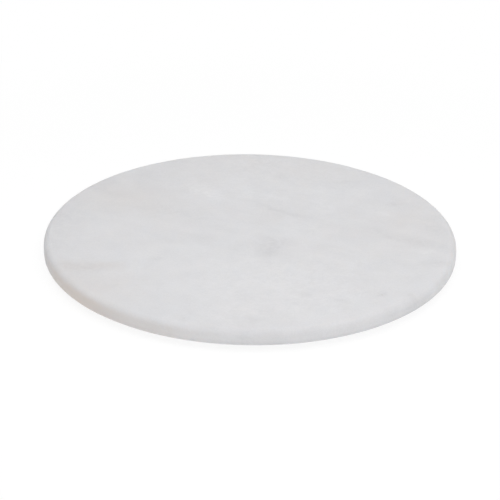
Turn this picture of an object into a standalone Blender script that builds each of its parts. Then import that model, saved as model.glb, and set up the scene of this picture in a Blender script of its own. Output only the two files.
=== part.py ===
"""A round marble chopping board on four self-adhesive rubber feet.

The board is a disc of marble with both rims eased to a quarter round. Under it sit four
moulded rubber feet, each held by its own disc of double-sided adhesive foam. Nothing on
the board moves: the feet are stuck on and stay where they are.

Metres, +Z up. The origin is on the surface that the board stands on, under its middle.
"""

import math

import bmesh
import bpy
from mathutils import Matrix

# The marble disc
BOARD_DIAMETER = 0.300
BOARD_THICKNESS = 0.0115
TOP_EDGE_RADIUS = 0.005
UNDERSIDE_EDGE_RADIUS = 0.0025

# A moulded foot: a low round button with a little draft, widest where it is stuck on
FOOT_DIAMETER = 0.018
FOOT_HEIGHT = 0.003
FOOT_DRAFT_ANGLE = math.radians(6)
FOOT_EDGE_RADIUS = 0.0009
FOOT_TO_RIM = 0.040

# The adhesive foam disc between a foot and the stone
ADHESIVE_THICKNESS = 0.0008
ADHESIVE_INSET = 0.0006

# The clearance between two surfaces that rest on each other
SEAT_GAP = 0.0003

# Where each foot stands, as its angle round the board. -Y is the front
FOOT_ANGLES = {
    "front_left": math.radians(225),
    "front_right": math.radians(315),
    "back_right": math.radians(45),
    "back_left": math.radians(135),
}

# How finely round shapes are cut
BOARD_SIDES = 160
FOOT_SIDES = 48
BOARD_EDGE_STEPS = 6
FOOT_EDGE_STEPS = 4

# Heights and places that follow from the sizes above
ADHESIVE_BASE = FOOT_HEIGHT + SEAT_GAP
UNDERSIDE_HEIGHT = ADHESIVE_BASE + ADHESIVE_THICKNESS + SEAT_GAP
FOOT_CIRCLE_RADIUS = BOARD_DIAMETER / 2 - FOOT_TO_RIM
ADHESIVE_RADIUS = FOOT_DIAMETER / 2 - ADHESIVE_INSET

# An edge radius may take up to this share of its wall
LARGEST_EDGE_SHARE = 0.45
MERGE_DISTANCE = 0.000001


def clear_scene():
    """Removes whatever the scene already holds."""
    for old in list(bpy.data.objects):
        bpy.data.objects.remove(old, do_unlink=True)


def make_material(name, colour, roughness):
    """A plain finish, none of these pieces being metal."""
    material = bpy.data.materials.new(name)
    material.use_nodes = True
    shader = material.node_tree.nodes["Principled BSDF"]
    shader.inputs["Base Color"].default_value = (*colour, 1.0)
    shader.inputs["Roughness"].default_value = roughness
    shader.inputs["Metallic"].default_value = 0.0
    return material


def rounded_corner(centre, radius, first_angle, last_angle, steps):
    """Points (distance from the axis, height) round an arc about centre."""
    points = []
    for step in range(steps + 1):
        angle = first_angle + (last_angle - first_angle) * step / steps
        across = centre[0] + radius * math.cos(angle)
        height = centre[1] + radius * math.sin(angle)
        points.append((across, height))
    return points


def turned_mesh(name, profile, sides):
    """A closed mesh turned about Z from a profile that runs from its top to its bottom."""
    mesh = bpy.data.meshes.new(name)
    points = [(across, 0.0, height) for across, height in profile]
    edges = [(index, index + 1) for index in range(len(profile) - 1)]
    mesh.from_pydata(points, edges, [])
    turned = bpy.data.objects.new(name, mesh)
    bpy.context.scene.collection.objects.link(turned)
    screw = turned.modifiers.new("Turn", "SCREW")
    screw.steps = sides
    screw.render_steps = sides
    screw.use_merge_vertices = True
    screw.merge_threshold = MERGE_DISTANCE
    graph = bpy.context.evaluated_depsgraph_get()
    solid = bpy.data.meshes.new_from_object(turned.evaluated_get(graph))
    solid.name = name
    bpy.data.objects.remove(turned, do_unlink=True)
    bpy.data.meshes.remove(mesh)
    solid.shade_smooth()
    solid.set_sharp_from_angle(angle=math.radians(30))
    return solid


def place(name, mesh, collection, parent, location):
    """Puts one named piece in its collection, under the assembly's empty."""
    piece = bpy.data.objects.new(name, mesh)
    piece.location = location
    piece.parent = parent
    collection.objects.link(piece)
    return piece


def board_mesh():
    """The marble disc, its underside at height 0, with both rims eased."""
    radius = BOARD_DIAMETER / 2
    top_edge = min(TOP_EDGE_RADIUS, LARGEST_EDGE_SHARE * BOARD_THICKNESS)
    low_edge = min(UNDERSIDE_EDGE_RADIUS, LARGEST_EDGE_SHARE * BOARD_THICKNESS)
    quarter = math.pi / 2
    top_corner = (radius - top_edge, BOARD_THICKNESS - top_edge)
    low_corner = (radius - low_edge, low_edge)
    profile = [(0.0, BOARD_THICKNESS)]
    profile += rounded_corner(top_corner, top_edge, quarter, 0.0, BOARD_EDGE_STEPS)
    profile += rounded_corner(low_corner, low_edge, 0.0, -quarter, BOARD_EDGE_STEPS)
    profile.append((0.0, 0.0))
    return turned_mesh("marble_board", profile, BOARD_SIDES)


def foot_mesh():
    """A moulded foot standing on height 0, narrowing downwards by its draft."""
    top_radius = FOOT_DIAMETER / 2
    edge = min(FOOT_EDGE_RADIUS, LARGEST_EDGE_SHARE * FOOT_HEIGHT)
    # The arc about this centre runs smoothly into both the sloping side and the flat base
    side_at_edge = top_radius - (FOOT_HEIGHT - edge) * math.tan(FOOT_DRAFT_ANGLE)
    corner = (side_at_edge - edge / math.cos(FOOT_DRAFT_ANGLE), edge)
    profile = [(0.0, FOOT_HEIGHT), (top_radius, FOOT_HEIGHT)]
    profile += rounded_corner(corner, edge, -FOOT_DRAFT_ANGLE, -math.pi / 2, FOOT_EDGE_STEPS)
    profile.append((0.0, 0.0))
    return turned_mesh("rubber_foot", profile, FOOT_SIDES)


def adhesive_mesh():
    """A flat round disc of adhesive foam, its lower face at height 0."""
    mesh = bpy.data.meshes.new("adhesive_disc")
    disc = bmesh.new()
    bmesh.ops.create_cone(
        disc,
        cap_ends=True,
        segments=FOOT_SIDES,
        radius1=ADHESIVE_RADIUS,
        radius2=ADHESIVE_RADIUS,
        depth=ADHESIVE_THICKNESS,
        matrix=Matrix.Translation((0.0, 0.0, ADHESIVE_THICKNESS / 2)),
    )
    disc.to_mesh(mesh)
    disc.free()
    return mesh


def build():
    clear_scene()
    collection = bpy.data.collections.new("marble_chopping_board")
    bpy.context.scene.collection.children.link(collection)
    assembly = bpy.data.objects.new("chopping_board_assembly", None)
    collection.objects.link(assembly)

    board = board_mesh()
    board.materials.append(make_material("honed_white_marble", (0.73, 0.73, 0.74), 0.45))
    foot = foot_mesh()
    foot.materials.append(make_material("grey_rubber", (0.55, 0.56, 0.56), 0.50))
    adhesive = adhesive_mesh()
    adhesive.materials.append(make_material("adhesive_foam", (0.80, 0.80, 0.78), 0.85))

    place("marble_board", board, collection, assembly, (0.0, 0.0, UNDERSIDE_HEIGHT))
    for corner, angle in FOOT_ANGLES.items():
        x = FOOT_CIRCLE_RADIUS * math.cos(angle)
        y = FOOT_CIRCLE_RADIUS * math.sin(angle)
        place(f"foot_{corner}", foot, collection, assembly, (x, y, 0.0))
        place(f"adhesive_{corner}", adhesive, collection, assembly, (x, y, ADHESIVE_BASE))


build()
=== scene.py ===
"""The looks of a round marble chopping board: honed stone on four moulded rubber feet.

Every size is in metres. The board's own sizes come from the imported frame, and the place of each
mark in the stone is measured from the middle of the top face, +X to the right and +Y to the back.
"""

import math
from collections import namedtuple

import bmesh
import bpy
from mathutils import Matrix, Vector, noise


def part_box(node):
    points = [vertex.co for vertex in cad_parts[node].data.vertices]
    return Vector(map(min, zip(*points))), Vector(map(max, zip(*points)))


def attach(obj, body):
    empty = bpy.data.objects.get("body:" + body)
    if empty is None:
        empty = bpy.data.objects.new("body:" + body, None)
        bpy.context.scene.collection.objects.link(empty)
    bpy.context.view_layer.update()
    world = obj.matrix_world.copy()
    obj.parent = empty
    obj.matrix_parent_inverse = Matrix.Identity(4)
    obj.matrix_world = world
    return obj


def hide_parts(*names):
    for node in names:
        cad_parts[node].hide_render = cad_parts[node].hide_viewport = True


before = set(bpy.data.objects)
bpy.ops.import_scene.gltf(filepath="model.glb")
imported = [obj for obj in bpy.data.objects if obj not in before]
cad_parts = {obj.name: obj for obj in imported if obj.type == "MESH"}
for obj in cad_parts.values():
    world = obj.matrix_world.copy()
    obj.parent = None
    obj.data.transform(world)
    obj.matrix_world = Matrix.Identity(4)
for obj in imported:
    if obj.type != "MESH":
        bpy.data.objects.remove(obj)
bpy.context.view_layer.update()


# The camera
# It stands a metre and a half in front of the board and looks down at it through a long lens. It
# is aimed a touch below the board's middle, and held a little out of level.

CAMERA_DISTANCE = 1.5
CAMERA_ELEVATION = math.radians(25.79)
CAMERA_DROP = math.radians(0.253)
CAMERA_ROLL = math.radians(0.817)
CAMERA_LENS = 148.05
CAMERA_REACH = 50.0

board_low, board_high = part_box("marble_board")
board_middle = (board_low + board_high) / 2

camera = bpy.data.objects.new("camera", bpy.data.cameras.new("camera"))
camera.data.lens = CAMERA_LENS
camera.data.clip_end = CAMERA_REACH
toward_camera = Vector((0.0, -math.cos(CAMERA_ELEVATION), math.sin(CAMERA_ELEVATION)))
looks_down = Matrix.Rotation(math.pi / 2 - CAMERA_ELEVATION - CAMERA_DROP, 4, "X")
rolled = Matrix.Rotation(CAMERA_ROLL, 4, "Z")
camera.matrix_world = (
    Matrix.Translation(board_middle + toward_camera * CAMERA_DISTANCE) @ looks_down @ rolled
)
bpy.context.scene.collection.objects.link(camera)
bpy.context.scene.camera = camera


# The marble disc
# One slab of fine white marble, sawn from a block, cut round, honed to a soft sheen on top and
# eased by hand at both rims. The underside is only ground flat, and stands on the feet.

BOARD_RADIUS = (board_high.x - board_low.x) / 2
TOP_EDGE_RADIUS = 0.005
UNDERSIDE_EDGE_RADIUS = 0.0025

# How finely the slab is cut, and the angle from which a fold between two faces looks sharp
BOARD_SIDES = 384
EDGE_STEPS = 8
RING_SPACING = 0.003
MERGE_DISTANCE = 0.000001
SHARP_ANGLE = math.radians(35)

# How far the hand-held grinding left the rim inside a true circle, at its deepest. The wave grows
# from just inside the edge of the flat, and is full after this share of the way to the rim
RIM_WAVE_DEPTH = 0.00018
RIM_WAVE_LENGTH = 0.045
RIM_RIPPLE_DEPTH = 0.00005
RIM_RIPPLE_LENGTH = 0.009
RIM_WAVE_FULL = 2 / 3

# The second of the slab's two materials is for the faces that look straight down
GROUND_SIDE = 1
LOOKS_DOWN = -0.999

# Pits in the top face, where a crystal came away in the honing. The face is cut finer within each
# margin round a pit, one after the other
Pit = namedtuple("Pit", "x y radius depth")
PITS = (
    Pit(0.0910, -0.0945, 0.0012, 0.00035),
    Pit(0.1060, 0.0555, 0.0010, 0.00030),
    Pit(0.0220, 0.1010, 0.0009, 0.00025),
    Pit(0.0360, -0.0950, 0.0008, 0.00022),
    Pit(0.0635, -0.1035, 0.0007, 0.00020),
    Pit(-0.0440, -0.1330, 0.0007, 0.00020),
    Pit(-0.0990, -0.0560, 0.0009, 0.00022),
    Pit(-0.0690, -0.0470, 0.0006, 0.00018),
    Pit(0.0140, -0.0370, 0.0007, 0.00018),
    Pit(-0.1120, 0.0350, 0.0006, 0.00018),
    Pit(0.0480, 0.0230, 0.0006, 0.00015),
)
PIT_MARGINS = (0.0030, 0.0008)
PIT_CUTS = 3
PIT_RAGGEDNESS = 0.5


def arc(centre, radius, first_angle, last_angle, steps):
    """Points (distance from the axis, height) round an arc about centre."""
    points = []
    for step in range(steps + 1):
        angle = first_angle + (last_angle - first_angle) * step / steps
        across = centre[0] + radius * math.cos(angle)
        height = centre[1] + radius * math.sin(angle)
        points.append((across, height))
    return points


def turned_shape(profile, sides):
    """A closed bmesh turned about Z from a profile that runs from the axis out and back to it."""
    shape = bmesh.new()
    points = [shape.verts.new((across, 0.0, height)) for across, height in profile]
    edges = [shape.edges.new(pair) for pair in zip(points, points[1:])]
    bmesh.ops.spin(
        shape,
        geom=points + edges,
        cent=(0.0, 0.0, 0.0),
        axis=(0.0, 0.0, 1.0),
        angle=math.tau,
        steps=sides,
        use_merge=True,
        use_duplicate=False,
    )
    bmesh.ops.remove_doubles(shape, verts=shape.verts, dist=MERGE_DISTANCE)
    bmesh.ops.recalc_face_normals(shape, faces=shape.faces)
    return shape


def finished_piece(name, shape, *materials):
    """Turns a bmesh into a smooth-shaded object at the origin, and frees the bmesh."""
    mesh = bpy.data.meshes.new(name)
    for material in materials:
        mesh.materials.append(material)
    shape.to_mesh(mesh)
    shape.free()
    mesh.shade_smooth()
    mesh.set_sharp_from_angle(angle=SHARP_ANGLE)
    piece = bpy.data.objects.new(name, mesh)
    bpy.context.scene.collection.objects.link(piece)
    return piece


def unevenness(place, length):
    """A number from 0 to 1 that changes smoothly from place to place, over about a length."""
    return 0.5 + 0.5 * noise.noise(place / length)


def press_pit(slab, pit, height):
    """Sinks a small ragged hollow in a face at a height, after cutting the face finer there."""
    middle = Vector((pit.x, pit.y, height))
    for margin in PIT_MARGINS:
        reach = pit.radius + margin
        near = {vertex for vertex in slab.verts if (vertex.co - middle).length < reach}
        edges = [edge for edge in slab.edges if near.issuperset(edge.verts)]
        bmesh.ops.subdivide_edges(slab, edges=edges, cuts=PIT_CUTS, use_grid_fill=True)
    for vertex in slab.verts:
        away = (vertex.co - middle).length / pit.radius
        ragged = away * (1.0 + PIT_RAGGEDNESS * noise.noise(vertex.co / pit.radius))
        if ragged < 1.0:
            vertex.co.z -= pit.depth * (1.0 - ragged * ragged) ** 2


def board_shape():
    """The slab: flat faces in rings, and rims that wander a little as a hand-ground edge does."""
    top, underside = board_high.z, board_low.z
    flat_top = BOARD_RADIUS - TOP_EDGE_RADIUS
    flat_underside = BOARD_RADIUS - UNDERSIDE_EDGE_RADIUS
    wall_top = top - TOP_EDGE_RADIUS
    wall_foot = underside + UNDERSIDE_EDGE_RADIUS
    rings = round(flat_top / RING_SPACING)
    quarter = math.pi / 2
    top_corner = (flat_top, wall_top)
    low_corner = (flat_underside, wall_foot)
    profile = [(flat_top * ring / rings, top) for ring in range(rings)]
    profile += arc(top_corner, TOP_EDGE_RADIUS, quarter, 0.0, EDGE_STEPS)
    for step in range(1, EDGE_STEPS):
        profile.append((BOARD_RADIUS, wall_top + (wall_foot - wall_top) * step / EDGE_STEPS))
    profile += arc(low_corner, UNDERSIDE_EDGE_RADIUS, 0.0, -quarter, EDGE_STEPS)
    profile += [(flat_underside * ring / rings, underside) for ring in range(rings - 1, -1, -1)]
    slab = turned_shape(profile, BOARD_SIDES)

    slab.normal_update()
    inner = flat_top - RING_SPACING
    for vertex in slab.verts:
        across = math.hypot(vertex.co.x, vertex.co.y)
        if across > inner:
            share = (across - inner) / (BOARD_RADIUS - inner)
            wave = RIM_WAVE_DEPTH * unevenness(vertex.co, RIM_WAVE_LENGTH)
            ripple = RIM_RIPPLE_DEPTH * unevenness(vertex.co, RIM_RIPPLE_LENGTH)
            vertex.co -= vertex.normal * (wave + ripple) * min(share / RIM_WAVE_FULL, 1.0)
    for face in slab.faces:
        if face.normal.z < LOOKS_DOWN:
            face.material_index = GROUND_SIDE
    for pit in PITS:
        press_pit(slab, pit, top)
    return slab


def connect(tree, value, socket):
    """Feeds a node's socket from another socket, or sets it to a plain value."""
    if isinstance(value, bpy.types.NodeSocket):
        tree.links.new(value, socket)
    else:
        socket.default_value = value


def calculate(tree, operation, *values):
    """The result of one Math node."""
    node = tree.nodes.new("ShaderNodeMath")
    node.operation = operation
    for value, socket in zip(values, node.inputs):
        connect(tree, value, socket)
    return node.outputs["Value"]


def combine(tree, operation, *values):
    """The result of one Vector Math node: a number for a length or a dot product."""
    node = tree.nodes.new("ShaderNodeVectorMath")
    node.operation = operation
    for value, socket in zip(values, node.inputs):
        connect(tree, value, socket)
    return node.outputs["Value" if operation in ("LENGTH", "DOT_PRODUCT") else "Vector"]


def spread(tree, value, low, high, new_low, new_high, smooth=True):
    """Maps a value from one range to another, and holds it there."""
    node = tree.nodes.new("ShaderNodeMapRange")
    node.interpolation_type = "SMOOTHSTEP" if smooth else "LINEAR"
    connect(tree, value, node.inputs["Value"])
    connect(tree, low, node.inputs["From Min"])
    connect(tree, high, node.inputs["From Max"])
    connect(tree, new_low, node.inputs["To Min"])
    connect(tree, new_high, node.inputs["To Max"])
    return node.outputs["Result"]


def blend(tree, share, first, second):
    """Mixes two colours. A share below 0 counts as 0, and one above 1 as 1."""
    node = tree.nodes.new("ShaderNodeMix")
    node.data_type = "RGBA"
    connect(tree, share, node.inputs["Factor"])
    connect(tree, first, node.inputs["A"])
    connect(tree, second, node.inputs["B"])
    return node.outputs["Result"]


def stretched(tree, place, factors):
    """The place, drawn out along an axis where that axis's factor is below 1."""
    return combine(tree, "MULTIPLY", place, factors)


def flattened(tree, place):
    """The place as it lies on the plan, without its height."""
    return combine(tree, "MULTIPLY", place, (1.0, 1.0, 0.0))


def from_axis(tree, place):
    """How far a place lies from the board's axis."""
    return combine(tree, "LENGTH", flattened(tree, place))


def height_of(tree, place):
    """The height of a place above the worktop."""
    parts = tree.nodes.new("ShaderNodeSeparateXYZ")
    connect(tree, place, parts.inputs["Vector"])
    return parts.outputs["Z"]


def turned(tree, place, angle, back=False):
    """The place, turned about the Z axis, or turned back."""
    node = tree.nodes.new("ShaderNodeVectorRotate")
    node.rotation_type = "Z_AXIS"
    node.invert = back
    connect(tree, place, node.inputs["Vector"])
    connect(tree, angle, node.inputs["Angle"])
    return node.outputs["Vector"]


# The soft noise lies about its middle, and for the most part between these two values
NOISE_MIDDLE = 0.5
NOISE_SPAN = (0.3, 0.7)


def cloudiness(tree, place, size, detail=3.0, roughness=0.5, output="Fac"):
    """Soft noise whose largest lumps are about size across."""
    node = tree.nodes.new("ShaderNodeTexNoise")
    connect(tree, place, node.inputs["Vector"])
    node.inputs["Scale"].default_value = 1.0 / size
    node.inputs["Detail"].default_value = detail
    node.inputs["Roughness"].default_value = roughness
    return node.outputs[output]


def new_group(name, inputs, outputs):
    """An empty node group with named sockets. Each input is a name, a type and a first value."""
    group = bpy.data.node_groups.new(name, "ShaderNodeTree")
    for title, kind, value in inputs:
        socket = group.interface.new_socket(name=title, in_out="INPUT", socket_type=kind)
        if value is not None:
            socket.default_value = value
    for title, kind in outputs:
        group.interface.new_socket(name=title, in_out="OUTPUT", socket_type=kind)
    arrives = group.nodes.new("NodeGroupInput").outputs
    leaves = group.nodes.new("NodeGroupOutput").inputs
    return group, arrives, leaves


def use_group(tree, group, **values):
    """Places a group in a tree, with its inputs named by keyword, and returns its outputs."""
    node = tree.nodes.new("ShaderNodeGroup")
    node.node_tree = group
    for title, value in values.items():
        connect(tree, value, node.inputs[title.replace("_", " ").capitalize()])
    return node.outputs


def mark_group():
    """One soft-edged mark: 1 in its middle, and 0 from its rim outward."""
    tree, arrives, leaves = new_group(
        "stone_mark",
        [
            ("Place", "NodeSocketVector", None),
            ("Middle", "NodeSocketVector", None),
            ("Turn", "NodeSocketFloat", 0.0),
            ("Size", "NodeSocketVector", (0.01, 0.01, 0.01)),
        ],
        [("Mask", "NodeSocketFloat")],
    )
    offset = combine(tree, "SUBTRACT", arrives["Place"], arrives["Middle"])
    offset = turned(tree, offset, arrives["Turn"], back=True)
    distance = combine(tree, "LENGTH", combine(tree, "DIVIDE", offset, arrives["Size"]))
    connect(tree, spread(tree, distance, 0.0, 1.0, 1.0, 0.0), leaves["Mask"])
    return tree


def mark_mask(tree, group, mark, place):
    """How much of a mark shows at a place, from 0 to 1."""
    outputs = use_group(
        tree,
        group,
        place=place,
        middle=(mark.x, mark.y, 0.0),
        turn=math.radians(mark.turn),
        size=(mark.length, mark.width, 1.0),
    )
    return outputs["Mask"]


# The marks in the stone: where the middle lies, the angle from +X in degrees, half the length and
# half the width, how dark it is, where a minus is paler than the stone round it, and how rusty
Mark = namedtuple("Mark", "x y turn length width darkness rust", defaults=(0.0,))
MARKS = {
    "grey_cloud": Mark(0.019, -0.014, 0, 0.019, 0.015, 0.26),
    "grey_cloud_tail": Mark(0.012, -0.031, 10, 0.015, 0.012, 0.20),
    "grey_cloud_haze": Mark(0.018, -0.022, -60, 0.030, 0.022, 0.11),
    "pale_band": Mark(-0.034, 0.074, -45, 0.036, 0.016, -0.22),
    "pale_band_heart": Mark(-0.033, 0.067, -55, 0.016, 0.008, -0.10),
    "pale_band_end": Mark(0.014, 0.068, -5, 0.030, 0.014, -0.10),
    "pale_field": Mark(0.057, 0.047, -60, 0.028, 0.019, -0.14),
    "pale_middle": Mark(0.052, 0.010, -30, 0.052, 0.034, -0.12),
    "pale_middle_right": Mark(0.070, -0.038, 0, 0.056, 0.036, -0.09),
    "pale_rim_back": Mark(0.010, 0.134, 0, 0.045, 0.022, -0.16),
    "pale_rim_front": Mark(-0.012, -0.128, 0, 0.034, 0.022, -0.17),
    "pale_patch_right": Mark(0.126, -0.026, -25, 0.014, 0.009, -0.20),
    "pale_patch_back": Mark(0.098, 0.038, -35, 0.014, 0.008, -0.20),
    "pale_patch_back_right": Mark(0.118, 0.066, -60, 0.018, 0.011, -0.15),
    "pale_patch_left": Mark(-0.102, 0.057, 0, 0.020, 0.012, -0.14),
    "pale_back": Mark(0.005, 0.100, 0, 0.130, 0.085, -0.14),
    "pale_front": Mark(0.027, -0.086, -5, 0.110, 0.070, -0.22),
    "pale_beside_vein": Mark(0.008, 0.040, -35, 0.040, 0.026, -0.06),
    "pale_front_middle": Mark(-0.005, -0.046, 0, 0.050, 0.026, -0.05),
    "pale_front_right": Mark(0.104, -0.058, -30, 0.028, 0.020, -0.07),
    "pale_back_right": Mark(0.080, 0.070, -20, 0.034, 0.024, -0.06),
    "dusky_left": Mark(-0.036, -0.010, -30, 0.026, 0.013, 0.12),
    "dusky_middle": Mark(-0.030, 0.016, -50, 0.030, 0.016, 0.12),
    "dusky_middle_left": Mark(-0.058, 0.033, -20, 0.038, 0.030, 0.15),
    "dusky_middle_right": Mark(0.070, -0.010, 0, 0.024, 0.021, 0.09),
    "dusky_front_left": Mark(-0.105, -0.075, -40, 0.040, 0.028, 0.12),
    "dusky_rim_left": Mark(-0.142, 0.010, 88, 0.084, 0.028, 0.21),
    "dusky_rim_back": Mark(-0.112, 0.085, 45, 0.028, 0.013, 0.14),
    "dusky_back_left": Mark(-0.072, 0.110, 30, 0.038, 0.020, 0.11),
    "dusky_back": Mark(0.007, 0.086, 0, 0.020, 0.017, 0.12),
    "dusky_back_right": Mark(0.094, 0.106, -45, 0.016, 0.009, 0.16),
    "dusky_front": Mark(0.010, -0.090, 0, 0.024, 0.019, 0.10),
    "dusky_rim_right": Mark(0.139, 0.022, 85, 0.034, 0.020, 0.17),
    "spot_back_right": Mark(0.106, 0.056, 10, 0.006, 0.005, 0.24),
    "spot_back_right_haze": Mark(0.090, 0.059, 0, 0.016, 0.009, 0.10),
    "spot_back": Mark(0.022, 0.103, 60, 0.012, 0.009, 0.20),
    "streak_back": Mark(0.072, 0.094, 0, 0.016, 0.005, 0.14),
    "streak_right": Mark(0.131, -0.043, 3, 0.018, 0.009, 0.24),
    "ring_left": Mark(-0.067, -0.043, 0, 0.009, 0.007, 0.16),
    "ring_left_haze": Mark(-0.073, -0.057, 80, 0.020, 0.013, 0.12),
    "speck_right": Mark(0.091, -0.0945, 0, 0.006, 0.005, 0.26),
    "speck_right_haze": Mark(0.091, -0.094, 0, 0.012, 0.008, 0.06),
    "speck_right_left": Mark(0.078, -0.091, 0, 0.008, 0.004, 0.14),
    "speck_edge_right": Mark(0.113, -0.0945, 0, 0.006, 0.005, 0.26),
    "speck_rim_right": Mark(0.1035, -0.116, 0, 0.005, 0.005, 0.20),
    "specks_front": Mark(0.038, -0.094, -5, 0.010, 0.005, 0.24),
    "specks_front_right": Mark(0.063, -0.105, -25, 0.009, 0.0045, 0.24),
    "speck_front": Mark(0.001, -0.132, 90, 0.012, 0.008, 0.26),
    "speck_front_left": Mark(-0.044, -0.134, 0, 0.006, 0.005, 0.18),
    "rust_streak": Mark(-0.123, -0.056, 0, 0.027, 0.016, 0.29, 0.24),
    "rust_streak_end": Mark(-0.099, -0.056, 0, 0.020, 0.013, 0.17, 0.18),
    "warm_haze_left": Mark(-0.090, 0.060, -20, 0.066, 0.048, 0.03, 0.20),
    "warm_haze_front": Mark(-0.098, -0.078, -35, 0.044, 0.030, -0.03, 0.17),
    "warm_haze_rim_front": Mark(-0.116, -0.092, -50, 0.062, 0.022, 0.0, 0.20),
    "warm_haze_back": Mark(0.010, 0.126, 0, 0.120, 0.050, -0.02, 0.08),
    "warm_haze_right": Mark(0.118, 0.024, 80, 0.082, 0.056, -0.03, 0.10),
    "warm_haze_middle": Mark(-0.042, 0.006, -30, 0.052, 0.030, -0.02, 0.06),
}

# A warm, darker tint along the rim at the front left: partly a rust stain in the stone, partly
# painted warm light and painted shade on the side away from the lamp. It shows in full up to the
# height of its heart, and fades out just under the top face
RIM_RUST_AND_SHADE = {
    "heart": Mark(-0.118, -0.088, -54, 0.085, 0.034, 0.05, 0.70),
    "tail": Mark(-0.060, -0.136, -24, 0.046, 0.030, 0.05, 0.32),
    "head": Mark(-0.142, -0.050, -70, 0.036, 0.024, 0.40, 0.18),
}
RIM_RUST_AND_SHADE_TOP = board_high.z - 0.0003
RIM_RUST_AND_SHADE_HEART = board_high.z - 0.0042

# How far the marks' edges wander, in slow drifts and in quick shivers
DRIFT = (0.014, 0.014, 0.0)
DRIFT_LENGTH = 0.016
SHIVER = (0.004, 0.004, 0.0)
SHIVER_LENGTH = 0.004

# The slow light and dark of the block, which lies drawn out along its bedding, and a few faint
# rusty stains
BEDDING_TURN = math.radians(30)
BEDDING_DRAWN_OUT = (0.75, 1.0, 1.0)
CLOUD_SIZE = 0.045
MOTTLE_SIZE = 0.012
BEDDING_SPAN = (0.25, 0.75)
BEDDING_TONE = 0.10
STAIN_SIZE = 0.035
STAIN_SPAN = (0.35, 0.75)
STAIN_RUST = 0.07

# The flecks that a mark is made of, and the least and the most of its darkness that they take
FLECK_SIZE = 0.0045
FLECK_SPAN = (0.36, 0.64)
FLECK_SHARES = (0.55, 1.45)

# Painted shade on the rim: its lower edge, which faces the floor, is painted much darker, and the
# eased top edge a little darker than the honed flat, to hold down its highlight. Each is full at
# the one height and gone at the other, and both set in between two distances from the axis
LOWER_EDGE_SHADE = 0.62
LOWER_EDGE_SHADE_FULL = board_low.z + 0.0005
LOWER_EDGE_SHADE_GONE = board_low.z + 0.0048
EASED_EDGE_SHADE = 0.08
EASED_EDGE_SHADE_FULL = board_high.z - 0.0005
EASED_EDGE_SHADE_GONE = board_high.z - 0.00002
RIM_SHADE_FROM = BOARD_RADIUS - 0.009
RIM_SHADE_FULL = BOARD_RADIUS - 0.005

# Hair-fine threads, which run where a slow noise crosses its middle and the stone is dusky
TANGLE_SIZE = 0.050
HAIR_FINENESS = 0.012
HAIR_DARKNESS = 0.08
DUSKY_SPAN = (-0.10, 0.25)

# The long vein's way across the board, and how strong it is along that way. It runs out broader
# and softer toward the right
VEIN_PATH = (
    (-0.150, 0.135), (-0.090, 0.112), (-0.045, 0.088), (-0.009, 0.061), (0.004, 0.054),
    (0.019, 0.040), (0.030, 0.035), (0.052, 0.023), (0.087, 0.012), (0.103, 0.000),
    (0.127, -0.013), (0.150, -0.022),
)
VEIN_STRENGTH = (
    (-0.150, 0.0), (-0.060, 0.08), (-0.006, 0.30), (0.006, 0.75), (0.019, 0.90), (0.034, 0.75),
    (0.048, 0.20), (0.070, 0.10), (0.086, 0.30), (0.110, 0.80), (0.130, 0.65), (0.150, 0.20),
)
VEIN_HALF_WIDTH = 0.0072
VEIN_END_HALF_WIDTH = 0.0125
VEIN_BROADENS_FROM = 0.040
VEIN_BROADENS_TO = 0.110
VEIN_DARKNESS = 0.24
THREAD_HALF_WIDTH = 0.0010
THREAD_DARKNESS = 0.03

# The crystals, each a little lighter or darker than the next
CRYSTAL_SIZE = 0.0007
CRYSTAL_TONE = 0.10

# The stone at its palest and at its greyest, how far plain stone lies toward the grey, and the
# colour of the rust
PALE_STONE = (0.796, 0.795, 0.809, 1.0)
GREY_STONE = (0.639, 0.640, 0.657, 1.0)
PLAIN_DARKNESS = 0.45
RUST = (0.685, 0.628, 0.590, 1.0)


def drawn_curve(tree, along, points, low, high):
    """The height of a smooth curve through points, at a place along its axis."""
    node = tree.nodes.new("ShaderNodeFloatCurve")
    curve = node.mapping.curves[0]
    span = 2 * BOARD_RADIUS
    spots = [
        ((across + BOARD_RADIUS) / span, (height - low) / (high - low))
        for across, height in points
    ]
    curve.points[0].location = spots[0]
    curve.points[-1].location = spots[-1]
    for spot in spots[1:-1]:
        curve.points.new(*spot)
    node.mapping.update()
    share = spread(tree, along, -BOARD_RADIUS, BOARD_RADIUS, 0.0, 1.0, smooth=False)
    connect(tree, share, node.inputs["Value"])
    return spread(tree, node.outputs["Value"], 0.0, 1.0, low, high, smooth=False)


def wandering_place(tree, place):
    """The place, moved a little this way and that, so that no mark has a ruled edge."""
    middle = (NOISE_MIDDLE, NOISE_MIDDLE, NOISE_MIDDLE)
    moved = place
    for length, reach in ((DRIFT_LENGTH, DRIFT), (SHIVER_LENGTH, SHIVER)):
        push = combine(tree, "SUBTRACT", cloudiness(tree, place, length, output="Color"), middle)
        moved = combine(tree, "ADD", moved, combine(tree, "MULTIPLY", push, reach))
    return moved


def bedding_tone(tree, place):
    """The slow light and dark of the block, drawn out a little along the vein."""
    bedding = stretched(tree, turned(tree, place, BEDDING_TURN), BEDDING_DRAWN_OUT)
    clouds = cloudiness(tree, bedding, CLOUD_SIZE, detail=4.0)
    clouds = spread(tree, clouds, *BEDDING_SPAN, -BEDDING_TONE, BEDDING_TONE, smooth=False)
    mottle = cloudiness(tree, bedding, MOTTLE_SIZE)
    mottle = spread(tree, mottle, *BEDDING_SPAN, -BEDDING_TONE, BEDDING_TONE, smooth=False)
    return calculate(tree, "ADD", clouds, mottle)


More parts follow.
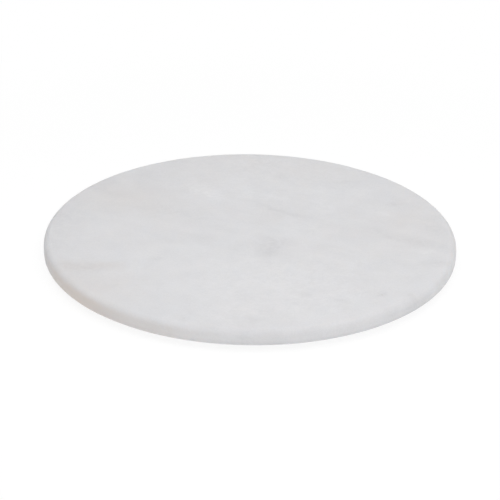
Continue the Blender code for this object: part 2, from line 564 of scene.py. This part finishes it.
def drawn_marks(tree, place, height):
    """How dark and rusty the marks make each place, with the rim's rust and painted shade."""
    group = mark_group()
    darkness = 0.0
    rust = 0.0
    for mark in MARKS.values():
        mask = mark_mask(tree, group, mark, place)
        darkness = calculate(tree, "MULTIPLY_ADD", mask, mark.darkness, darkness)
        if mark.rust:
            rust = calculate(tree, "MULTIPLY_ADD", mask, mark.rust, rust)
    # The rim's tint at the front left is partly rust, partly painted warm light and painted shade
    in_rim_tint = spread(tree, height, RIM_RUST_AND_SHADE_HEART, RIM_RUST_AND_SHADE_TOP, 1.0, 0.0)
    for mark in RIM_RUST_AND_SHADE.values():
        mask = calculate(tree, "MULTIPLY", mark_mask(tree, group, mark, place), in_rim_tint)
        darkness = calculate(tree, "MULTIPLY_ADD", mask, mark.darkness, darkness)
        rust = calculate(tree, "MULTIPLY_ADD", mask, mark.rust, rust)
    return darkness, rust


def vein_tone(tree, place):
    """How dark the long vein makes each place, with the fine dark thread along its middle."""
    parts = tree.nodes.new("ShaderNodeSeparateXYZ")
    connect(tree, place, parts.inputs["Vector"])
    along = parts.outputs["X"]
    path = drawn_curve(tree, along, VEIN_PATH, -BOARD_RADIUS, BOARD_RADIUS)
    strength = drawn_curve(tree, along, VEIN_STRENGTH, 0.0, 1.0)
    aside = calculate(tree, "ABSOLUTE", calculate(tree, "SUBTRACT", parts.outputs["Y"], path))
    vein_half_width = spread(
        tree,
        along,
        VEIN_BROADENS_FROM,
        VEIN_BROADENS_TO,
        VEIN_HALF_WIDTH,
        VEIN_END_HALF_WIDTH,
    )
    vein = spread(tree, aside, 0.0, vein_half_width, 1.0, 0.0)
    thread = spread(tree, aside, 0.0, THREAD_HALF_WIDTH, 1.0, 0.0)
    tone = calculate(tree, "MULTIPLY", vein, VEIN_DARKNESS)
    tone = calculate(tree, "MULTIPLY_ADD", thread, THREAD_DARKNESS, tone)
    return calculate(tree, "MULTIPLY", tone, strength)


def painted_rim_shade(tree, place, height):
    """How much darker the painted shade makes the rim's lower edge and its eased top edge."""
    # Painted shade: the lower edge is darkened where it faces the floor, the eased edge to hold
    # down its highlight
    grime = spread(tree, height, LOWER_EDGE_SHADE_FULL, LOWER_EDGE_SHADE_GONE, LOWER_EDGE_SHADE, 0.0)
    eased_shade = spread(tree, height, EASED_EDGE_SHADE_FULL, EASED_EDGE_SHADE_GONE, EASED_EDGE_SHADE, 0.0)
    on_rim = spread(tree, from_axis(tree, place), RIM_SHADE_FROM, RIM_SHADE_FULL, 0.0, 1.0)
    return calculate(tree, "MULTIPLY", calculate(tree, "ADD", grime, eased_shade), on_rim)


def hair_tone(tree, place, darkness):
    """How much darker the hair-fine threads are, which show only in stone that is dusky."""
    tangle = cloudiness(tree, place, TANGLE_SIZE, detail=5.0, roughness=0.6)
    ridge = calculate(tree, "ABSOLUTE", calculate(tree, "SUBTRACT", tangle, NOISE_MIDDLE))
    hair = spread(tree, ridge, 0.0, HAIR_FINENESS, HAIR_DARKNESS, 0.0)
    return calculate(tree, "MULTIPLY", hair, spread(tree, darkness, *DUSKY_SPAN, 0.0, 1.0))


def marble_group():
    """The colour of the stone through its whole thickness, so that top, rim and underside agree."""
    tree, arrives, leaves = new_group(
        "marble_figure",
        [("Place", "NodeSocketVector", None)],
        [("Colour", "NodeSocketColor"), ("Crystal", "NodeSocketFloat")],
    )
    place = arrives["Place"]
    height = height_of(tree, place)
    wandering = wandering_place(tree, place)
    plan = flattened(tree, wandering)

    # Flecks break up every mark and the vein, so that they are made of grains and not of paint
    marked, rust = drawn_marks(tree, plan, height)
    figure = calculate(tree, "ADD", marked, vein_tone(tree, plan))
    flecks = cloudiness(tree, place, FLECK_SIZE, roughness=0.6)
    flecks = spread(tree, flecks, *FLECK_SPAN, *FLECK_SHARES)
    darkness = calculate(tree, "MULTIPLY_ADD", figure, flecks, bedding_tone(tree, place))
    # Painted shade on the rim's lower edge and eased top edge
    darkness = calculate(tree, "ADD", darkness, painted_rim_shade(tree, place, height))
    darkness = calculate(tree, "ADD", darkness, hair_tone(tree, wandering, darkness))

    crystals = tree.nodes.new("ShaderNodeTexVoronoi")
    crystals.inputs["Scale"].default_value = 1.0 / CRYSTAL_SIZE
    connect(tree, place, crystals.inputs["Vector"])
    tones = tree.nodes.new("ShaderNodeSeparateColor")
    connect(tree, crystals.outputs["Color"], tones.inputs["Color"])
    tone = spread(tree, tones.outputs["Red"], 0.0, 1.0, -CRYSTAL_TONE, CRYSTAL_TONE, smooth=False)
    darkness = calculate(tree, "ADD", darkness, tone)

    darkness = calculate(tree, "ADD", darkness, PLAIN_DARKNESS)
    stains = spread(tree, cloudiness(tree, place, STAIN_SIZE), *STAIN_SPAN, 0.0, STAIN_RUST)
    rust = calculate(tree, "ADD", rust, stains)
    colour = blend(tree, darkness, PALE_STONE, GREY_STONE)
    connect(tree, blend(tree, rust, colour, RUST), leaves["Colour"])
    connect(tree, tones.outputs["Green"], leaves["Crystal"])
    return tree


def new_material(name):
    """A material with its Principled BSDF, and the place of each point on the piece."""
    material = bpy.data.materials.new(name)
    material.use_nodes = True
    tree = material.node_tree
    shader = tree.nodes["Principled BSDF"]
    place = tree.nodes.new("ShaderNodeTexCoord").outputs["Object"]
    return material, tree, shader, place


def relief(tree, shader, height, depth):
    """Raises a finish's height, 0 to 1, as bumps that are depth deep."""
    bump = tree.nodes.new("ShaderNodeBump")
    bump.inputs["Distance"].default_value = depth
    connect(tree, height, bump.inputs["Height"])
    connect(tree, bump.outputs["Normal"], shader.inputs["Normal"])


marble_figure = marble_group()

# The honed face is duller in some patches than in others, and each crystal glints a little more
# or less than the next. Light sinks into the stone, and red light deepest
PATCH_SIZE = 0.030
HONED_ROUGHNESS = (0.52, 0.62)
GLINT = (-0.06, 0.04)
MARBLE_IOR = 1.5
SINKING_SHARE = 0.5
SINKING_BY_COLOUR = (1.0, 0.9, 0.8)
SINKING_DEPTH = 0.003

# The strokes of the grinding run round the rims. The flat has only the stone's grain, in which
# each crystal stands a hair higher or lower than the next
STROKE_WIDTH = 0.0007
STROKES_DRAWN_OUT = (0.04, 0.04, 1.0)
GRAIN_SIZE = 0.0015
CRYSTAL_STEP = 0.3
HONED_RELIEF = 0.00004

# The saw left straight lines along X, and a film of stone dust lies over them
SAW_LINE_WIDTH = 0.0016
SAW_LINES_DRAWN_OUT = (0.02, 1.0, 1.0)
SAW_DUST = (0.70, 0.69, 0.67, 1.0)
SAW_DUST_SHARE = 0.12
SAWN_ROUGHNESS = (0.64, 0.76)
SAWN_RELIEF = 0.00012


def honed_marble():
    """The top and the rims: ground smooth but not polished, so the sheen is soft."""
    material, tree, shader, place = new_material("honed_white_marble")
    figure = use_group(tree, marble_figure, place=place)
    connect(tree, figure["Colour"], shader.inputs["Base Color"])
    patches = cloudiness(tree, place, PATCH_SIZE, detail=4.0)
    patches = spread(tree, patches, *NOISE_SPAN, *HONED_ROUGHNESS, smooth=False)
    glints = spread(tree, figure["Crystal"], 0.0, 1.0, *GLINT, smooth=False)
    connect(tree, calculate(tree, "ADD", patches, glints), shader.inputs["Roughness"])
    shader.inputs["IOR"].default_value = MARBLE_IOR
    shader.inputs["Subsurface Weight"].default_value = SINKING_SHARE
    shader.inputs["Subsurface Radius"].default_value = SINKING_BY_COLOUR
    shader.inputs["Subsurface Scale"].default_value = SINKING_DEPTH

    strokes = cloudiness(tree, stretched(tree, place, STROKES_DRAWN_OUT), STROKE_WIDTH, detail=2.0)
    flat_edge = BOARD_RADIUS - TOP_EDGE_RADIUS
    on_rim = spread(tree, from_axis(tree, place), flat_edge, BOARD_RADIUS, 0.0, 1.0)
    grain = cloudiness(tree, place, GRAIN_SIZE)
    height = calculate(tree, "MULTIPLY_ADD", strokes, on_rim, grain)
    height = calculate(tree, "MULTIPLY_ADD", figure["Crystal"], CRYSTAL_STEP, height)
    relief(tree, shader, height, HONED_RELIEF)
    return material


def ground_marble():
    """The underside, left with the straight marks of the saw that parted it from its block."""
    material, tree, shader, place = new_material("sawn_white_marble")
    figure = use_group(tree, marble_figure, place=place)
    dusted = blend(tree, SAW_DUST_SHARE, figure["Colour"], SAW_DUST)
    connect(tree, dusted, shader.inputs["Base Color"])
    lines = cloudiness(tree, stretched(tree, place, SAW_LINES_DRAWN_OUT), SAW_LINE_WIDTH)
    roughness = spread(tree, lines, *NOISE_SPAN, *SAWN_ROUGHNESS, smooth=False)
    connect(tree, roughness, shader.inputs["Roughness"])
    relief(tree, shader, lines, SAWN_RELIEF)
    return material


board = finished_piece("marble_slab", board_shape(), honed_marble(), ground_marble())
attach(board, "root")
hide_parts("marble_board")


# The feet
# Four low buttons of soft grey rubber, each moulded in one piece with a little draft and a thin
# lip where the mould parts. The base is dished, so that only a grooved ring grips the worktop.

CORNERS = ("front_left", "front_right", "back_right", "back_left")
FOOT_DRAFT_ANGLE = math.radians(6)
FOOT_EDGE_RADIUS = 0.0009
LIP_WIDTH = 0.00012
LIP_HEIGHT = 0.0004
LIP_RADIUS = 0.0001
GROOVE_RADII = (0.0071, 0.0063)
GROOVE_HALF_WIDTH = 0.0002
GROOVE_DEPTH = 0.0002
DISH_RADIUS = 0.0056
DISH_DEPTH = 0.0004

# The stub that is left where the rubber ran into the mould, in the middle of the dish
GATE_RADIUS = 0.0008
GATE_HEIGHT = 0.00015
GATE_TAPER = 0.8

# How finely a foot is cut
FOOT_SIDES = 96
LIP_STEPS = 3
DISH_STEPS = 8


def foot_profile(radius, height):
    """From the middle of the glued face, out and down the side, and back along the base."""
    slope = math.tan(FOOT_DRAFT_ANGLE)
    side_top = radius - LIP_WIDTH
    edge = FOOT_EDGE_RADIUS
    side_at_edge = side_top - (height - edge) * slope
    corner = (side_at_edge - edge / math.cos(FOOT_DRAFT_ANGLE), edge)
    lip_corner = (radius - LIP_RADIUS, height - LIP_RADIUS)
    profile = [(0.0, height)]
    profile += arc(lip_corner, LIP_RADIUS, math.pi / 2, 0.0, LIP_STEPS)
    profile.append((radius, height - LIP_HEIGHT + LIP_WIDTH))
    profile.append((side_top - LIP_HEIGHT * slope, height - LIP_HEIGHT))
    profile += arc(corner, edge, -FOOT_DRAFT_ANGLE, -math.pi / 2, EDGE_STEPS)
    for groove in GROOVE_RADII:
        profile.append((groove + GROOVE_HALF_WIDTH, 0.0))
        profile.append((groove + GROOVE_HALF_WIDTH / 2, GROOVE_DEPTH))
        profile.append((groove - GROOVE_HALF_WIDTH / 2, GROOVE_DEPTH))
        profile.append((groove - GROOVE_HALF_WIDTH, 0.0))
    # The dish rises from the base and levels out again in one smooth sweep
    for step in range(DISH_STEPS):
        share = step / DISH_STEPS
        rise = share * share * (3 - 2 * share)
        profile.append((DISH_RADIUS * (1 - share), DISH_DEPTH * rise))
    profile.append((GATE_RADIUS, DISH_DEPTH))
    profile.append((GATE_RADIUS * GATE_TAPER, DISH_DEPTH - GATE_HEIGHT))
    profile.append((0.0, DISH_DEPTH - GATE_HEIGHT))
    return profile


# The rubber is a shade darker in soft patches, and satin to the eye
RUBBER_GREY = (0.56, 0.57, 0.57, 1.0)
RUBBER_SHADE = (0.50, 0.51, 0.51, 1.0)
RUBBER_PATCH = 0.006
RUBBER_IOR = 1.5
SATIN_PATCH = 0.0018
SATIN_ROUGHNESS = (0.44, 0.56)
MOULD_GRAIN = 0.00025
MOULD_RELIEF = 0.00002

# Stone dust lies on it in fine grit, much of it at the base and little from this height upward
STONE_DUST = (0.72, 0.72, 0.71, 1.0)
GRIT_SIZE = 0.0006
GRIT_SPAN = (0.45, 0.65)
DUST_TOP = 0.0016
DUST_SHARES = (0.7, 0.1)
DUST_ROUGHNESS = 0.25


def grey_rubber():
    """Rubber as it leaves the mould: an even satin, with stone dust caught low on the side."""
    material, tree, shader, place = new_material("moulded_grey_rubber")
    patches = spread(tree, cloudiness(tree, place, RUBBER_PATCH), *NOISE_SPAN, 0.0, 1.0)
    rubber = blend(tree, patches, RUBBER_GREY, RUBBER_SHADE)
    grit = cloudiness(tree, place, GRIT_SIZE, detail=4.0)
    grit = spread(tree, grit, *GRIT_SPAN, 0.0, 1.0)
    low_down = spread(tree, height_of(tree, place), 0.0, DUST_TOP, *DUST_SHARES)
    dusty = calculate(tree, "MULTIPLY", grit, low_down)
    connect(tree, blend(tree, dusty, rubber, STONE_DUST), shader.inputs["Base Color"])
    satin = cloudiness(tree, place, SATIN_PATCH)
    satin = spread(tree, satin, *NOISE_SPAN, *SATIN_ROUGHNESS, smooth=False)
    roughness = calculate(tree, "MULTIPLY_ADD", dusty, DUST_ROUGHNESS, satin)
    connect(tree, roughness, shader.inputs["Roughness"])
    shader.inputs["IOR"].default_value = RUBBER_IOR
    relief(tree, shader, cloudiness(tree, place, MOULD_GRAIN), MOULD_RELIEF)
    return material


rubber = grey_rubber()
for corner in CORNERS:
    foot_low, foot_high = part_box(f"foot_{corner}")
    middle = (foot_low + foot_high) / 2
    shape = turned_shape(foot_profile(foot_high.x - middle.x, foot_high.z), FOOT_SIDES)
    bmesh.ops.translate(shape, verts=shape.verts, vec=(middle.x, middle.y, 0.0))
    foot = finished_piece(f"moulded_foot_{corner}", shape, rubber)
    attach(foot, "root")
    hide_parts(f"foot_{corner}")


# The adhesive discs
# Each foot came on a disc of white foam that is sticky on both faces. Pressed between the foot
# and the stone it fills the space between them, and its cut edge bulges a little.

FOAM_BULGE = 0.00018
FOAM_SIDES = 96
FOAM_STEPS = 10

# The small tears that the die left in the cut edge
TEAR_DEPTH = 0.00010
TEAR_LENGTH = 0.0006


def foam_shape(radius, bottom, top):
    """A disc whose cut edge is a shallow, slightly torn bow."""
    half_height = (top - bottom) / 2
    profile = [(0.0, top)]
    for step in range(FOAM_STEPS + 1):
        angle = math.pi * step / FOAM_STEPS
        bow = FOAM_BULGE * (1 - math.sin(angle))
        profile.append((radius - bow, bottom + half_height * (1 + math.cos(angle))))
    profile.append((0.0, bottom))
    shape = turned_shape(profile, FOAM_SIDES)
    for vertex in shape.verts:
        across = math.hypot(vertex.co.x, vertex.co.y)
        if across > radius / 2:
            tear = TEAR_DEPTH * unevenness(vertex.co, TEAR_LENGTH)
            vertex.co.x *= 1 - tear / across
            vertex.co.y *= 1 - tear / across
    return shape


# The foam is a cluster of small closed cells, each darker and rougher inside than its walls, with
# a little grime here and there
FOAM_WHITE = (0.83, 0.83, 0.81, 1.0)
FOAM_SHADE = (0.70, 0.69, 0.66, 1.0)
CELL_SIZE = 0.00022
CELL_TO_WALL = (0.2, 0.7)
CELL_DARKNESS = 0.6
CELL_TO_WALL_ROUGHNESS = (0.90, 0.78)
FOAM_GRIME_SIZE = 0.002
FOAM_GRIME_SPAN = (0.4, 0.7)
FOAM_GRIME_DARKNESS = 0.4
FOAM_RELIEF = 0.00006


def white_foam():
    """Closed-cell foam: pale walls round small dark cells."""
    material, tree, shader, place = new_material("white_adhesive_foam")
    cells = tree.nodes.new("ShaderNodeTexVoronoi")
    cells.inputs["Scale"].default_value = 1.0 / CELL_SIZE
    connect(tree, place, cells.inputs["Vector"])
    walls = spread(tree, cells.outputs["Distance"], *CELL_TO_WALL, 0.0, 1.0)
    grime = cloudiness(tree, place, FOAM_GRIME_SIZE)
    grime = spread(tree, grime, *FOAM_GRIME_SPAN, 0.0, FOAM_GRIME_DARKNESS)
    shade = calculate(tree, "SUBTRACT", calculate(tree, "ADD", CELL_DARKNESS, grime), walls)
    connect(tree, blend(tree, shade, FOAM_WHITE, FOAM_SHADE), shader.inputs["Base Color"])
    roughness = spread(tree, walls, 0.0, 1.0, *CELL_TO_WALL_ROUGHNESS, smooth=False)
    connect(tree, roughness, shader.inputs["Roughness"])
    relief(tree, shader, walls, FOAM_RELIEF)
    return material


foam = white_foam()
for corner in CORNERS:
    foam_low, foam_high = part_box(f"adhesive_{corner}")
    foot_low, foot_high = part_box(f"foot_{corner}")
    middle = (foam_low + foam_high) / 2
    shape = foam_shape(foam_high.x - middle.x, foot_high.z, board_low.z)
    bmesh.ops.translate(shape, verts=shape.verts, vec=(middle.x, middle.y, 0.0))
    disc = finished_piece(f"foam_disc_{corner}", shape, foam)
    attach(disc, "root")
    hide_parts(f"adhesive_{corner}")


# The floor
# A seamless pale sheet over a light table that glows faintly, as for a catalogue picture. Near the
# board the sheet carries a soft shadow, and it runs out to white.

FLOOR_REACH = 6.0
FLOOR_COLOUR = (0.95, 0.95, 0.95, 1.0)
TABLE_LIGHT = 0.185

# What the camera sees of the sheet: a glow and a share of the lamp's light, which the board
# shadows. Between the two distances from the board it turns to pure white
FLOOR_GLOW = 0.88
FLOOR_SHADOW = (0.14, 0.14, 0.14, 1.0)
WHITE_FROM = 0.20
WHITE_BY = 0.45


def seen_rays(tree):
    """1 for the rays that show a background: those of the camera, and in gloss and glass."""
    path = tree.nodes.new("ShaderNodeLightPath").outputs
    seen = calculate(tree, "MAXIMUM", path["Is Camera Ray"], path["Is Glossy Ray"])
    return calculate(tree, "MAXIMUM", seen, path["Is Transmission Ray"])


def either_shader(tree, share, first, second):
    """Mixes two shaders."""
    node = tree.nodes.new("ShaderNodeMixShader")
    connect(tree, share, node.inputs["Fac"])
    tree.links.new(first, node.inputs[1])
    tree.links.new(second, node.inputs[2])
    return node.outputs["Shader"]


def glow(tree, strength):
    """A plain white light of its own."""
    node = tree.nodes.new("ShaderNodeEmission")
    node.inputs["Strength"].default_value = strength
    return node.outputs["Emission"]


def pale_sheet():
    """The sheet as it lights the board, and as the camera sees it."""
    material, tree, shader, place = new_material("pale_floor")
    shader.inputs["Base Color"].default_value = FLOOR_COLOUR
    shader.inputs["Roughness"].default_value = 1.0
    shader.inputs["Emission Color"].default_value = (1.0, 1.0, 1.0, 1.0)
    shader.inputs["Emission Strength"].default_value = TABLE_LIGHT
    soft = tree.nodes.new("ShaderNodeBsdfDiffuse")
    soft.inputs["Color"].default_value = FLOOR_SHADOW
    shaded = tree.nodes.new("ShaderNodeAddShader")
    tree.links.new(glow(tree, FLOOR_GLOW), shaded.inputs[0])
    tree.links.new(soft.outputs["BSDF"], shaded.inputs[1])
    far = spread(tree, combine(tree, "LENGTH", place), WHITE_FROM, WHITE_BY, 0.0, 1.0)
    shown = either_shader(tree, far, shaded.outputs["Shader"], glow(tree, 1.0))
    surface = either_shader(tree, seen_rays(tree), shader.outputs["BSDF"], shown)
    tree.links.new(surface, tree.nodes["Material Output"].inputs["Surface"])
    return material


sheet = bmesh.new()
bmesh.ops.create_grid(sheet, x_segments=1, y_segments=1, size=FLOOR_REACH)
floor = finished_piece("floor", sheet, pale_sheet())


# The studio
# A large soft lamp hangs over the board's near side, inside a white tent that is a little brighter
# toward the front and the right.

LAMP_PLACE = (0.05, -0.20, 0.70)
LAMP_WIDTH = 1.2
LAMP_POWER = 5.8
TENT_LIGHT = 0.355
TENT_LEAN = (0.125, -0.23, 0.0)

lamp = bpy.data.objects.new("soft_lamp", bpy.data.lights.new("soft_lamp", "AREA"))
lamp.data.shape = "SQUARE"
lamp.data.size = LAMP_WIDTH
lamp.data.energy = LAMP_POWER
lamp.location = LAMP_PLACE
lamp.visible_camera = False
lamp.visible_glossy = False
bpy.context.scene.collection.objects.link(lamp)

tent = bpy.data.worlds.new("white_tent")
tent.use_nodes = True
bpy.context.scene.world = tent
tree = tent.node_tree
toward = tree.nodes.new("ShaderNodeTexCoord").outputs["Generated"]
leaning = combine(tree, "DOT_PRODUCT", toward, TENT_LEAN)
strength = calculate(tree, "ADD", leaning, TENT_LIGHT)
fill = tree.nodes["Background"]
fill.inputs["Color"].default_value = (1.0, 1.0, 1.0, 1.0)
connect(tree, strength, fill.inputs["Strength"])
white = tree.nodes.new("ShaderNodeBackground")
white.inputs["Color"].default_value = (1.0, 1.0, 1.0, 1.0)
lit = either_shader(tree, seen_rays(tree), fill.outputs["Background"], white.outputs["Background"])
tree.links.new(lit, tree.nodes["World Output"].inputs["Surface"])

bpy.context.scene.view_settings.view_transform = "Standard"
